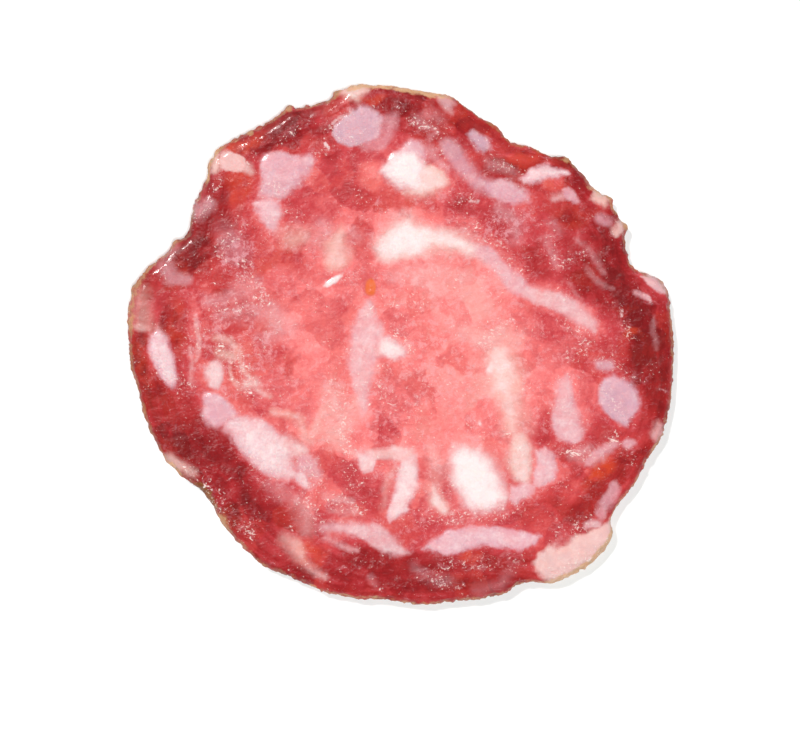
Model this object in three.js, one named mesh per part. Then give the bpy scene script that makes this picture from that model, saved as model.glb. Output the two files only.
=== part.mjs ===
// One peeled slice of cured sausage, lying flat on its lower cut face.
// Millimetres, +Z up. The origin is under the middle of the slice, on the surface it lies on.
import * as THREE from 'three';

// Driving dimensions.
const SLICE_LENGTH = 54.8; // along X, across the widest part of the slice
const SLICE_WIDTH = 52.1; // along Y
const THICKNESS = 2.6; // height of the level part of the upper cut face
const LOWER_EDGE_INSET = 0.55; // how far the rim tucks in where it meets the surface
const UPPER_EDGE_INSET = 0.95; // how far in from the rim the upper face becomes level
const RIM_STATIONS = 168; // steps along the rim, about 1 mm each
const RIM_WAVE_DEPTH = 0.16; // how much the side of the rim swells and sinks
const RIM_WAVES = 23; // short swells round the rim
const RIM_BENDS = 9; // longer bends that they ride on
const RIM_WAVE_TILT = 1.5; // how far the swells lean sideways as they climb, in radians per mm
const FACE_WAVE_HEIGHT = 0.05; // how much the upper face rises and falls between the fat pieces
const FACE_WAVE_LENGTH = 20; // distance from one such rise to the next

// The rim seen from above, anticlockwise from +X: an uneven oval with the shallow nicks and
// shoulders that are left when the skin is peeled off.
const RIM_POINTS = [
  [27.4, 0.0], [27.0, 4.0], [26.5, 5.9], [25.3, 6.9], [24.2, 6.9], [22.9, 8.3], [22.5, 11.0],
  [22.7, 11.8], [21.6, 13.0], [20.9, 14.7], [19.9, 15.1], [17.7, 17.6], [16.5, 18.6],
  [14.9, 18.9], [12.9, 19.8], [10.9, 20.2], [10.0, 21.4], [7.8, 22.9], [5.7, 24.4],
  [4.9, 25.0], [3.2, 25.1], [0.0, 25.7], [-3.5, 26.0], [-5.0, 25.8], [-6.4, 25.1],
  [-7.3, 24.4], [-9.2, 23.9], [-10.1, 23.6], [-11.0, 23.7], [-11.8, 23.2], [-13.5, 22.1],
  [-15.3, 21.1], [-17.0, 20.4], [-18.4, 19.5], [-19.3, 18.2], [-19.5, 16.5], [-20.5, 14.3],
  [-21.1, 12.4], [-21.2, 10.9], [-22.2, 10.4], [-23.0, 9.8], [-24.0, 8.7], [-25.0, 8.0],
  [-26.5, 6.3], [-27.2, 4.2], [-27.4, 2.6], [-27.3, 0.0], [-27.1, -2.5], [-26.3, -5.0],
  [-25.9, -6.8], [-24.9, -9.3], [-23.6, -11.7], [-22.3, -13.1], [-20.0, -14.8],
  [-18.5, -17.0], [-17.2, -19.0], [-15.5, -20.8], [-13.8, -22.2], [-11.5, -23.2],
  [-9.8, -23.8], [-7.8, -24.8], [-4.5, -25.5], [-1.8, -25.6], [2.4, -26.1], [6.0, -25.7],
  [8.5, -25.5], [10.6, -24.9], [12.2, -23.9], [15.2, -24.0], [17.8, -22.8], [19.8, -21.4],
  [21.4, -18.9], [21.0, -17.9], [22.3, -15.5], [23.6, -14.0], [24.9, -11.4], [26.1, -9.6],
  [26.7, -7.5], [27.2, -5.0],
];

// Fat pieces that stand a little proud of the lean on the upper face.
const FAT_RISES = [
  { x: 4.5, y: 10.5, radius: 4.0, height: 0.12 },
  { x: 15.0, y: 4.0, radius: 3.0, height: 0.1 },
  { x: 0.5, y: 17.5, radius: 3.5, height: 0.14 },
  { x: 9.5, y: 16.0, radius: 2.5, height: 0.1 },
  { x: -4.0, y: 22.0, radius: 3.0, height: 0.12 },
  { x: -12.0, y: 17.0, radius: 3.0, height: 0.12 },
  { x: -14.0, y: -10.0, radius: 3.5, height: 0.14 },
  { x: -3.5, y: 0.0, radius: 3.5, height: 0.08 },
  { x: 7.8, y: -13.3, radius: 3.6, height: 0.14 },
  { x: 16.6, y: -6.5, radius: 2.2, height: 0.1 },
  { x: 21.7, y: -5.8, radius: 2.4, height: 0.14 },
  { x: 8.0, y: -19.6, radius: 3.2, height: 0.1 },
  { x: 17.5, y: -20.6, radius: 3.0, height: 0.08 },
  { x: -23.6, y: -1.4, radius: 2.0, height: 0.1 },
];

// The section of the rim, from the lower face up to the upper one. inset is measured inwards
// from the outline, and height from the surface that the slice lies on.
const RIM_SECTION = [
  { inset: LOWER_EDGE_INSET, height: 0 },
  { inset: 0.18, height: 0.3 },
  { inset: 0.02, height: 0.85 },
  { inset: 0, height: 1.45 },
  { inset: 0.16, height: 2.0 },
  { inset: 0.5, height: 2.4 },
  { inset: UPPER_EDGE_INSET, height: THICKNESS },
];

// The rings of points across the upper face, each a share of the way out from the middle.
const FACE_SHARES = [0.9, 0.8, 0.69, 0.57, 0.45, 0.33, 0.2, 0.08];

function rimStations() {
  const points = RIM_POINTS.map(([x, y]) => new THREE.Vector3(x, y, 0));
  const rim = new THREE.CatmullRomCurve3(points, true, 'centripetal');
  const stations = rim.getSpacedPoints(RIM_STATIONS).slice(0, RIM_STATIONS);
  const box = new THREE.Box3().setFromPoints(stations);
  const size = box.getSize(new THREE.Vector3());
  const middle = box.getCenter(new THREE.Vector3());
  const toSize = new THREE.Vector3(SLICE_LENGTH / size.x, SLICE_WIDTH / size.y, 1);
  return stations.map((station) => station.sub(middle).multiply(toSize));
}

function faceRelief(x, y) {
  const turn = (2 * Math.PI) / FACE_WAVE_LENGTH;
  let rise = FACE_WAVE_HEIGHT * Math.sin(turn * (x + 0.4 * y)) * Math.cos(turn * (y - 0.3 * x));
  for (const fat of FAT_RISES) {
    const distance = Math.hypot(x - fat.x, y - fat.y);
    rise += fat.height * Math.exp(-((distance / fat.radius) ** 2));
  }
  return rise;
}

// The side of the rim is soft and uneven, but it never swells past the outline.
function rimWave(index, height) {
  const along = (2 * Math.PI * index) / RIM_STATIONS;
  const lean = RIM_WAVE_TILT * height;
  const wave = Math.sin(RIM_WAVES * along + lean) * Math.sin(RIM_BENDS * along - lean);
  return RIM_WAVE_DEPTH * Math.sin((Math.PI * height) / THICKNESS) * (0.5 + 0.5 * wave);
}

function rimPoint(section, station, index) {
  const levelled = section.height / THICKNESS;
  const inset = section.inset + (section.inset > 0 ? rimWave(index, section.height) : 0);
  const share = 1 - inset / station.length();
  const x = station.x * share;
  const y = station.y * share;
  return new THREE.Vector3(x, y, section.height + levelled ** 2 * faceRelief(x, y));
}

function facePoint(share, station) {
  const x = station.x * share;
  const y = station.y * share;
  return new THREE.Vector3(x, y, THICKNESS + faceRelief(x, y));
}

// A lathe gives one closed skin with the right connections. Each of its points is then moved
// from the circle to its place on the uneven section of the slice.
function sliceGeometry() {
  const lowerMiddle = new THREE.Vector3(0, 0, 0);
  const upperMiddle = new THREE.Vector3(0, 0, THICKNESS + faceRelief(0, 0));
  const stations = rimStations();
  const columns = stations.map((station, index) => [
    lowerMiddle,
    ...RIM_SECTION.map((section) => rimPoint(section, station, index)),
    ...FACE_SHARES.map((share) => facePoint(share, station)),
    upperMiddle,
  ]);
  const profile = columns[0].map((point) => new THREE.Vector2(Math.hypot(point.x, point.y), point.z));
  const geometry = new THREE.LatheGeometry(profile, RIM_STATIONS);
  const position = geometry.attributes.position;
  for (let index = 0; index < position.count; index += 1) {
    const column = columns[Math.floor(index / profile.length) % RIM_STATIONS];
    const point = column[index % profile.length];
    position.setXYZ(index, point.x, point.y, point.z);
  }
  geometry.computeVertexNormals();
  return geometry;
}

const curedMeat = new THREE.MeshStandardMaterial({ color: 0xc8504c, roughness: 0.35, metalness: 0 });

const slice = new THREE.Mesh(sliceGeometry(), curedMeat);
slice.name = 'sausage_slice';

const part = new THREE.Group();
part.add(slice);

export default part;
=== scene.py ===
"""One peeled slice of cured sausage: coarse fat in marbled lean, on a plain pale stage.

Everything is in metres, +Z up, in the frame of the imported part. The slice's own lists are in
millimetres, seen from above, with +X to the right and +Y up.
"""
import math
from collections import namedtuple
from functools import partial

import bmesh
import bpy
import numpy as np
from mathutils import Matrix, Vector, noise


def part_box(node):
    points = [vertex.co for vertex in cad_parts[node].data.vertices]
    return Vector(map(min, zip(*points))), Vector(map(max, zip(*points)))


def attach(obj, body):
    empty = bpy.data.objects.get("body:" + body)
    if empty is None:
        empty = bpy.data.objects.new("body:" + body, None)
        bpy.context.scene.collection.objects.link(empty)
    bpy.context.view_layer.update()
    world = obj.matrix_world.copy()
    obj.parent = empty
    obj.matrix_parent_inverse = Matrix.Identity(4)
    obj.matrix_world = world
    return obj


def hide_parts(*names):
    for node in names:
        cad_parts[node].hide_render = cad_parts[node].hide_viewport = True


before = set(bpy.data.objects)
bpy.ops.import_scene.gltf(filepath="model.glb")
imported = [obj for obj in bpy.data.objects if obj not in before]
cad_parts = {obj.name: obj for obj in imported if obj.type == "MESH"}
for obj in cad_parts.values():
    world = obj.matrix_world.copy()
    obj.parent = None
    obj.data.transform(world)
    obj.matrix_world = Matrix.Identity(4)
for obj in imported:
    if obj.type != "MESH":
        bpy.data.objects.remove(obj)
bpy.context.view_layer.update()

bl_info = {
    "name": "Cured Sausage Slice",
    "version": (1, 0, 0),
    "blender": (4, 5, 0),
    "location": "3D View > Sidebar > Sausage",
    "description": "Models one peeled slice of cured sausage and a pale studio stage",
    "category": "Add Mesh",
}

MM = 0.001
SLICE_NODE = "sausage_slice"
BODY = "root"

CAD_LOW, CAD_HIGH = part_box(SLICE_NODE)
SLICE_HEIGHT = CAD_HIGH.z - CAD_LOW.z
SMOOTHING_ROUNDS = 3  # to take the steps out of the even mesh
UNDERSIDE_DEPTH = 0.12 * MM  # no finer faces are made below this height


def srgb(code):
    """The linear colour of an sRGB hex value such as "c8504c"."""
    parts = [int(code[i:i + 2], 16) / 255 for i in (0, 2, 4)]
    return tuple(c / 12.92 if c <= 0.04045 else ((c + 0.055) / 1.055) ** 2.4 for c in parts)


# ---------------------------------------------------------------------------------------------
# What the sausage maker put into the slice.

# A piece of fat is either an outline of (x, y) corners or a path of (x, y, radius). white: 1 is
# dense and white, 0 is clear and lilac, and less is greyer. warm: 0 is cool and pink, 1 is cream.
# cover: how much it hides the lean. edge: how softly it fades into the lean, in mm.
Fat = namedtuple("Fat", "white warm cover edge shape")

FAT_PIECES = (
    # The long arc over the middle: white at the left, clear at the bend, then paler again.
    Fat(0.75, 0.45, 1.0, 0.75, ((-2.9, 9.6), (-1.6, 11.1), (-0.6, 12.4), (0.6, 12.9), (1.6, 12.2),
        (3.0, 11.7), (5.0, 11.2), (7.0, 10.5), (8.2, 9.8), (7.9, 8.6), (5.6, 9.2), (3.6, 9.2), (1.6, 8.8),
        (0.4, 8.4), (-0.8, 8.0), (-2.2, 8.5))),
    Fat(0.1, 0.0, 0.9, 0.45, ((6.8, 10.4), (8.6, 9.9), (9.9, 8.8), (11.0, 7.4), (12.4, 6.4), (13.2, 5.2),
        (11.9, 4.7), (10.6, 5.4), (9.6, 6.6), (8.6, 8.0), (7.2, 9.0))),
    Fat(0.13, 0.15, 0.9, 0.42, ((12.2, 6.3), (14.0, 5.5), (16.0, 4.9), (17.6, 4.3), (18.6, 3.2),
        (19.7, 2.2), (19.5, 1.3), (18.4, 1.7), (16.8, 2.6), (15.0, 3.6), (13.3, 4.2), (12.0, 4.8))),
    # The white piece above it, with a clear cap.
    Fat(1.0, 0.2, 1.0, 0.4, ((-2.1, 17.2), (-1.4, 18.1), (-0.8, 19.0), (0.4, 19.6), (1.7, 19.3),
        (2.3, 18.3), (2.6, 17.2), (2.4, 16.0), (1.4, 15.3), (-0.3, 15.3), (-1.1, 15.9), (-1.5, 16.5))),
    Fat(0.45, 0.65, 0.9, 0.45, ((2.0, 18.0), (3.2, 17.8), (4.3, 17.2), (4.9, 16.3), (4.3, 15.6),
        (3.0, 15.0), (1.4, 14.8), (0.0, 15.0), (1.0, 15.9))),
    Fat(0.15, 0.0, 0.9, 0.35, ((-0.4, 19.0), (0.3, 19.8), (1.1, 20.5), (2.1, 20.3), (2.8, 19.4),
        (2.4, 18.4), (1.2, 18.8))),
    Fat(0.0, 0.1, 0.45, 0.45, ((2.8, 19.6, 0.5), (3.6, 18.4, 0.4), (4.6, 17.6, 0.3))),
    # The clear band that runs down to the right from there, and the oval beside it.
    Fat(-0.1, 0.05, 0.68, 0.5, ((3.9, 20.2), (4.9, 20.4), (5.8, 19.8), (6.7, 18.5), (7.7, 17.3),
        (9.0, 16.5), (8.4, 15.1), (7.2, 15.8), (6.0, 16.9), (5.0, 18.1), (4.1, 19.2))),
    Fat(0.0, 0.0, 0.9, 0.3, ((8.0, 16.8), (9.2, 16.4), (10.6, 16.4), (11.5, 15.9), (12.9, 15.1),
        (13.0, 14.4), (11.6, 14.1), (10.1, 14.3), (8.6, 14.9), (7.9, 15.6))),
    Fat(-0.2, 0.05, 0.9, 0.3, ((6.7, 21.2), (7.2, 21.6), (7.9, 21.1), (8.7, 20.3), (9.0, 19.3),
        (8.4, 18.9), (7.7, 19.2), (7.1, 20.1))),
    # By the upper right rim.
    Fat(0.4, 0.05, 1.0, 0.26, ((11.6, 16.6), (12.4, 17.2), (13.2, 17.6), (14.6, 17.8), (15.6, 17.5),
        (16.5, 17.4), (16.9, 16.9), (15.9, 16.7), (14.8, 16.6), (14.2, 16.1), (13.2, 16.1),
        (12.2, 16.2))),
    Fat(0.0, 0.05, 0.85, 0.22, ((16.1, 15.5), (16.8, 15.8), (17.5, 15.3), (18.2, 14.2), (17.9, 14.0),
        (17.0, 14.4), (16.3, 14.7))),
    Fat(0.1, 0.3, 0.8, 0.35, ((15.3, 14.6, 0.35), (16.1, 14.7, 0.3))),
    Fat(0.0, 0.7, 0.8, 0.35, ((19.1, 14.4), (19.5, 15.2), (20.5, 15.0), (20.9, 14.2), (20.2, 13.8),
        (19.6, 13.9))),
    Fat(0.0, 0.0, 0.6, 0.35, ((20.0, 12.6, 0.5), (20.7, 12.1, 0.5))),
    Fat(0.05, 0.6, 0.8, 0.3, ((22.0, 11.6, 0.6), (21.6, 11.0, 0.4))),
    Fat(-0.08, 0.3, 0.95, 0.25, ((24.2, 6.7), (25.3, 7.0), (26.4, 6.1), (26.8, 5.0), (26.2, 4.9),
        (25.3, 5.4), (24.5, 5.9))),
    # A painted highlight: a small pale patch that stands for a glint of light on the wet face.
    Fat(0.15, 0.1, 0.7, 0.2, ((23.6, 5.0, 0.25), (24.7, 4.5, 0.3))),
    # By the top rim.
    Fat(0.2, 0.75, 0.85, 0.45, ((-5.8, 25.0), (-5.4, 25.7), (-4.0, 26.2), (-3.2, 25.6), (-3.9, 24.8),
        (-4.4, 24.1), (-5.1, 24.3))),
    Fat(-0.1, 0.4, 0.75, 0.35, ((3.7, 25.2), (4.9, 25.0), (5.3, 24.0), (5.1, 23.1), (4.4, 23.4),
        (4.0, 24.2))),
    Fat(-0.12, 0.05, 1.0, 0.3, ((-6.9, 20.8), (-6.6, 21.9), (-5.6, 22.9), (-4.6, 23.4), (-3.9, 23.9),
        (-3.1, 23.7), (-2.2, 23.1), (-1.7, 22.3), (-1.9, 21.2), (-2.4, 20.5), (-3.4, 20.0), (-5.0, 19.8),
        (-6.2, 20.2))),
    Fat(0.0, 0.05, 0.5, 0.5, ((-3.2, 19.8, 0.6), (-2.1, 20.0, 0.65), (-1.2, 21.0, 0.6),
        (-0.9, 22.4, 0.6))),
    # The upper left.
    Fat(0.0, 0.05, 1.0, 0.32, ((-14.0, 18.4), (-13.3, 19.1), (-11.8, 19.2), (-10.6, 18.8), (-9.2, 18.95),
        (-8.6, 18.4), (-9.3, 17.0), (-10.2, 15.8), (-11.2, 15.0), (-11.8, 14.4), (-13.2, 14.4),
        (-14.2, 14.9), (-13.9, 16.4))),
    Fat(0.05, 0.1, 1.0, 0.32, ((-14.5, 14.1), (-13.4, 14.5), (-12.1, 14.2), (-11.9, 12.9), (-12.1, 11.6),
        (-12.7, 11.0), (-13.3, 11.5), (-14.0, 12.3), (-14.3, 13.3))),
    Fat(0.05, 0.45, 0.95, 0.18, ((-17.0, 18.4, 1.05), (-16.5, 18.2, 1.05))),
    Fat(0.05, 0.5, 0.7, 0.4, ((-15.4, 17.7, 0.5), (-15.0, 17.3, 0.3))),
    Fat(0.0, 0.7, 0.85, 0.28, ((-18.5, 17.6, 0.5), (-18.4, 18.5, 0.55))),
    Fat(0.0, 0.1, 0.55, 0.45, ((-20.2, 13.2, 0.75), (-19.2, 14.0, 0.6))),
    Fat(0.0, 0.1, 0.5, 0.5, ((-23.3, 7.7, 0.7), (-22.8, 6.5, 0.7), (-21.4, 6.4, 0.5))),
    Fat(0.0, 0.05, 0.35, 0.8, ((-17.2, 10.6, 0.9), (-16.4, 9.2, 0.9))),
    # The left rim.
    Fat(0.38, 0.0, 1.0, 0.28, ((-25.0, 1.0), (-24.3, 1.7), (-23.6, 1.0), (-23.1, -0.4), (-22.7, -1.8),
        (-22.2, -3.4), (-22.6, -4.2), (-23.3, -3.9), (-24.2, -3.0), (-24.9, -1.6), (-25.3, -0.2))),
    Fat(0.36, 0.2, 0.95, 0.36, ((-19.2, -1.8), (-18.4, -1.4), (-17.8, -2.2), (-17.9, -3.6), (-18.4, -4.5),
        (-19.2, -4.1), (-19.4, -2.9))),
    Fat(0.2, 0.85, 0.5, 0.5, ((-18.1, -0.9, 0.45), (-16.8, -1.3, 0.5))),
    Fat(0.25, 0.4, 0.7, 0.4, ((-15.6, -4.0, 0.5), (-14.4, -3.8, 0.45))),
    # The large piece at the lower left, with its clear lobes and the cream arc over it.
    Fat(-0.05, 0.05, 1.0, 0.35, ((-19.7, -5.1), (-18.6, -4.7), (-17.6, -5.2), (-16.6, -6.2),
        (-16.2, -7.2), (-16.8, -7.9), (-18.0, -8.2), (-19.3, -8.1), (-19.9, -7.2), (-19.5, -6.2))),
    Fat(0.4, 0.1, 1.0, 0.42, ((-17.6, -7.6), (-16.4, -7.4), (-15.0, -7.3), (-13.6, -7.6), (-12.6, -8.3),
        (-11.6, -9.3), (-10.8, -10.2), (-10.9, -11.6), (-10.4, -12.6), (-10.2, -13.3), (-11.4, -13.5),
        (-12.9, -13.2), (-14.2, -12.5), (-15.0, -11.6), (-15.9, -10.7), (-17.0, -9.6), (-17.7, -8.6))),
    Fat(0.35, 0.25, 0.8, 0.55, ((-11.8, -10.0, 1.0), (-9.9, -10.8, 0.8))),
    Fat(0.05, 0.0, 0.8, 0.4, ((-9.5, -12.0, 1.0), (-8.6, -12.8, 0.5))),
    Fat(0.35, 0.1, 0.9, 0.3, ((-10.0, -13.3, 0.7), (-9.5, -14.0, 0.4))),
    Fat(0.35, 0.9, 0.5, 0.6, ((-12.8, -6.6, 0.25), (-11.3, -6.8, 0.3), (-10.1, -7.7, 0.35),
        (-9.3, -9.2, 0.5))),
    # Soft cream patches and the white fleck above the middle.
    Fat(0.1, 0.8, 0.5, 0.9, ((-10.9, 10.6, 0.9), (-9.6, 10.8, 0.7))),
    Fat(0.25, 0.85, 0.65, 0.9, ((-5.9, 11.2, 0.6), (-6.7, 10.0, 1.1), (-6.4, 8.5, 1.1))),
    Fat(0.9, 0.2, 1.0, 0.18, ((-7.9, 5.7), (-7.4, 6.3), (-6.8, 6.7), (-6.0, 7.0), (-5.5, 7.3),
        (-5.9, 6.6), (-6.6, 5.9), (-7.3, 5.6))),
    # The clear column in the middle.
    Fat(0.14, 0.05, 0.9, 0.4, ((-3.1, 4.4), (-2.4, 3.2), (-1.9, 1.9), (-1.8, 0.4), (-2.2, -1.0),
        (-2.6, -2.2), (-2.9, -3.4), (-3.2, -4.9), (-3.5, -6.6), (-3.9, -7.3), (-4.3, -6.2), (-4.6, -4.4),
        (-5.0, -2.4), (-5.1, -0.4), (-4.9, 1.3), (-4.3, 2.9), (-3.7, 4.1))),
    Fat(0.35, 0.0, 0.6, 0.6, ((-3.2, 2.8, 0.5), (-3.4, 0.4, 0.9), (-2.2, -0.6, 0.9))),
    Fat(0.7, 0.05, 0.9, 0.35, ((-2.4, 0.9), (-1.4, 1.0), (-0.4, 0.5), (0.5, -0.3), (0.3, -1.3),
        (-0.6, -1.8), (-1.6, -1.5), (-2.4, -0.8))),
    Fat(0.2, 0.3, 0.4, 0.9, ((-12.8, 2.3, 0.8), (-11.6, 1.8, 0.6))),
    # The soft bright spot right of the middle, in a wide cream halo.
    Fat(0.45, 0.7, 0.8, 1.6, ((10.0, -1.0, 1.3), (10.4, -3.5, 1.6), (10.9, -6.0, 1.0),
        (11.2, -8.5, 0.8))),
    Fat(0.8, 0.5, 0.85, 0.7, ((9.3, -2.2, 0.5), (8.9, -2.6, 0.4))),
    Fat(0.8, 0.2, 0.9, 0.2, ((8.0, -8.0, 0.2),)),
    # Small bright specks, drawn as fat. The first three are painted highlights: glints of light on the
    # wet face.
    Fat(0.9, 0.3, 0.9, 0.14, ((6.9, 14.4, 0.07), (7.8, 14.3, 0.12))),
    Fat(0.9, 0.3, 0.95, 0.14, ((-7.6, 19.9, 0.2), (-7.2, 19.6, 0.14))),
    Fat(0.9, 0.3, 0.85, 0.18, ((-7.0, 21.9, 0.08), (-6.2, 22.5, 0.12), (-5.4, 22.9, 0.06))),
    Fat(0.9, 0.3, 0.9, 0.14, ((22.0, 3.4, 0.1), (22.1, 3.0, 0.14))),
    Fat(0.85, 0.5, 0.9, 0.16, ((-20.6, -15.0, 0.14), (-20.2, -15.2, 0.1))),
    Fat(0.85, 0.4, 0.85, 0.16, ((5.2, -16.9, 0.16),)),
    # The bright white piece below, and what lies round it.
    Fat(1.0, 0.2, 1.0, 0.65, ((5.2, -10.0), (6.6, -10.0), (8.0, -10.3), (9.2, -11.4), (10.0, -13.0),
        (10.4, -14.4), (10.8, -15.6), (10.0, -16.5), (8.6, -17.0), (7.2, -16.9), (6.2, -16.3),
        (5.7, -15.2), (4.9, -13.6), (4.8, -11.6))),
    Fat(0.35, 0.55, 0.9, 0.6, ((10.9, -9.2), (12.2, -8.8), (13.1, -10.4), (13.2, -12.4), (13.0, -14.0),
        (11.4, -13.6), (10.5, -12.0))),
    Fat(0.1, 0.05, 0.9, 0.35, ((11.0, -14.4), (12.6, -13.7), (13.8, -14.0), (12.8, -15.2), (11.4, -16.2),
        (10.6, -15.8))),
    Fat(0.2, 0.05, 0.95, 0.3, ((13.5, -10.7), (14.4, -10.4), (15.3, -11.2), (15.9, -12.6), (15.4, -13.7),
        (14.0, -14.3), (13.1, -14.0), (13.6, -12.4))),
    Fat(0.5, 0.6, 0.85, 0.4, ((3.1, -14.4, 0.4), (3.6, -15.5, 0.6), (4.3, -16.5, 0.5))),
    # The hook left of it.
    Fat(0.45, 0.15, 0.9, 0.26, ((-4.7, -10.8), (-3.6, -10.7), (-2.5, -11.3), (-2.9, -12.7), (-3.9, -12.9),
        (-4.5, -12.0))),
    Fat(0.3, 0.3, 0.8, 0.32, ((-3.8, -10.6), (-2.0, -10.4), (-0.6, -10.2), (1.2, -10.3), (1.7, -11.6),
        (0.2, -11.6), (-1.6, -11.6), (-3.0, -11.5))),
    Fat(0.5, 0.1, 0.95, 0.24, ((0.2, -11.2), (1.6, -10.8), (1.9, -12.0), (1.7, -13.6), (1.4, -15.0),
        (0.9, -16.4), (0.0, -17.4), (-1.2, -17.8), (-1.6, -17.0), (-1.0, -15.6), (-0.6, -14.0),
        (-0.2, -12.6))),
    # The right side.
    Fat(0.2, 0.05, 0.9, 0.42, ((15.9, -3.6), (16.8, -3.0), (17.3, -4.2), (17.4, -5.6), (17.8, -7.0),
        (18.1, -8.4), (18.0, -9.6), (17.2, -10.0), (16.0, -9.6), (15.3, -8.6), (15.1, -7.2),
        (15.3, -5.6))),
    Fat(-0.12, 0.0, 1.0, 0.34, ((19.8, -4.4), (20.3, -3.5), (21.3, -3.1), (22.4, -3.4), (23.4, -4.2),
        (23.7, -5.4), (23.6, -6.4), (23.2, -7.3), (22.8, -8.3), (22.2, -8.2), (21.2, -7.6), (20.3, -6.8),
        (19.6, -5.7))),
    Fat(-0.15, 0.05, 0.8, 0.3, ((19.9, -2.2, 0.45), (20.8, -2.1, 0.45))),
    Fat(0.0, 0.1, 0.75, 0.35, ((21.3, -10.0, 0.45), (20.0, -11.1, 0.7), (18.7, -11.9, 0.5))),
    Fat(0.05, 0.05, 0.75, 0.3, ((22.7, -10.0, 0.55), (23.2, -9.9, 0.4))),
    Fat(0.05, 0.3, 0.7, 0.35, ((25.6, -8.9, 0.65), (25.7, -8.2, 0.4))),
    Fat(0.0, 0.05, 0.65, 0.35, ((21.4, -14.4, 0.55), (20.8, -15.6, 0.6), (20.0, -16.9, 0.5))),
    # The bottom.
    Fat(0.19, 0.0, 1.0, 0.25, ((2.1, -20.4), (2.9, -19.6), (3.9, -19.0), (5.1, -18.5), (7.0, -18.35),
        (9.2, -18.3), (11.2, -18.3), (12.8, -18.9), (13.9, -19.4), (13.3, -20.1), (11.8, -20.6),
        (10.2, -20.3), (8.4, -20.2), (6.9, -20.6), (5.6, -21.0), (4.0, -20.9))),
    Fat(-0.05, 0.55, 1.0, 0.32, ((13.2, -21.7), (13.8, -20.8), (14.9, -20.3), (16.4, -19.7),
        (17.3, -18.9), (18.6, -18.8), (20.0, -18.0), (21.0, -17.6), (22.0, -18.7), (21.4, -20.2),
        (20.0, -21.9), (18.0, -23.3), (15.6, -24.4), (14.4, -23.4), (13.6, -22.4))),
    Fat(0.6, 0.2, 0.95, 0.7, ((14.9, -21.9, 0.7), (16.8, -21.0, 1.0), (18.9, -19.9, 0.8))),
    Fat(0.2, 0.15, 0.8, 0.35, ((18.6, -18.0, 0.4), (19.6, -17.9, 0.4))),
    Fat(0.12, 0.15, 0.85, 0.4, ((-8.2, -17.9), (-6.0, -17.8), (-4.0, -17.9), (-2.2, -17.9), (-1.4, -18.6),
        (-0.8, -19.4), (0.2, -20.2), (0.9, -20.9), (-0.4, -21.2), (-1.8, -21.0), (-2.8, -20.4),
        (-3.6, -19.6), (-4.6, -19.1), (-6.4, -18.9), (-7.9, -18.7))),
    Fat(0.1, 0.2, 0.6, 0.3, ((-7.6, -19.3, 0.15), (-6.2, -20.2, 0.25), (-4.4, -20.6, 0.25))),
    Fat(0.05, 0.6, 0.6, 0.6, ((-10.6, -20.2, 0.9), (-9.9, -21.2, 0.5))),
    Fat(0.05, 0.4, 0.6, 0.4, ((-9.0, -22.2, 0.3), (-7.6, -23.2, 0.3))),
    Fat(0.1, 0.6, 0.7, 0.4, ((-23.0, -11.4, 0.4), (-22.0, -12.3, 0.45), (-20.8, -12.9, 0.3))),
    # Fat that was mashed into the lean: thin smears, mostly drawn out along the rim.
    Fat(0.0, 0.8, 0.3, 0.8, ((-26.0, 4.8, 0.7), (-25.8, 2.6, 0.9), (-25.2, 1.9, 0.5))),
    Fat(0.0, 0.55, 0.6, 0.3, ((-26.1, 1.7, 0.55), (-25.4, 1.6, 0.45))),
    Fat(0.05, 0.2, 0.45, 0.6, ((-23.4, 8.9, 0.4), (-22.6, 9.5, 0.4))),
    Fat(0.15, 0.3, 0.55, 0.25, ((-20.5, 2.8, 0.15), (-20.1, 0.6, 0.25), (-20.5, -1.6, 0.15))),
    Fat(0.15, 0.3, 0.5, 0.25, ((-21.0, -0.4, 0.15), (-20.8, -2.0, 0.2), (-20.9, -3.8, 0.2))),
    Fat(0.1, 0.1, 0.4, 0.9, ((-19.3, 4.4, 0.5), (-17.5, 4.4, 0.5), (-15.6, 5.4, 0.9), (-14.6, 6.2, 0.7))),
    Fat(0.1, 0.1, 0.4, 0.9, ((-18.2, 2.6, 0.4), (-15.6, 3.4, 0.6), (-12.9, 3.0, 1.0), (-11.3, 1.6, 0.9),
        (-13.4, 0.9, 0.6))),
    Fat(0.3, 0.7, 0.55, 0.4, ((-18.6, 0.7, 0.3), (-17.0, 0.2, 0.35), (-16.2, -0.8, 0.3))),
    Fat(0.3, 0.6, 0.55, 0.35, ((-17.2, -1.6, 0.15), (-17.0, -3.4, 0.2), (-16.2, -4.3, 0.15))),
    Fat(0.3, 0.6, 0.5, 0.35, ((-16.2, -1.4, 0.15), (-15.6, -2.8, 0.25), (-14.4, -4.4, 0.3),
        (-13.2, -5.2, 0.2))),
    Fat(0.05, 0.1, 0.35, 0.9, ((-8.2, 12.2, 0.5), (-7.3, 11.2, 0.7), (-8.4, 10.4, 0.5))),
    Fat(0.05, 0.1, 0.35, 0.7, ((-5.0, 11.4, 0.4), (-4.4, 10.8, 0.4))),
    Fat(0.1, 0.3, 0.35, 0.9, ((-7.2, -4.6, 0.6), (-6.4, -6.8, 0.9), (-6.6, -9.4, 0.8))),
    Fat(0.1, 0.5, 0.45, 0.6, ((-9.2, -9.6, 0.6), (-8.4, -8.2, 0.5), (-7.4, -6.2, 0.3))),
    Fat(0.1, 0.3, 0.5, 0.35, ((-7.6, -15.2, 0.15), (-6.0, -15.6, 0.3), (-4.6, -15.7, 0.2))),
    Fat(0.1, 0.3, 0.5, 0.35, ((-7.0, -16.6, 0.2), (-5.6, -16.8, 0.25), (-4.3, -16.8, 0.15))),
    Fat(0.05, 0.3, 0.4, 0.7, ((-10.8, -15.4, 0.5), (-9.6, -16.8, 0.7), (-9.2, -18.6, 0.6))),
    Fat(0.05, 0.1, 0.35, 0.7, ((-13.0, -14.0, 0.4), (-11.6, -14.8, 0.6))),
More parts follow.
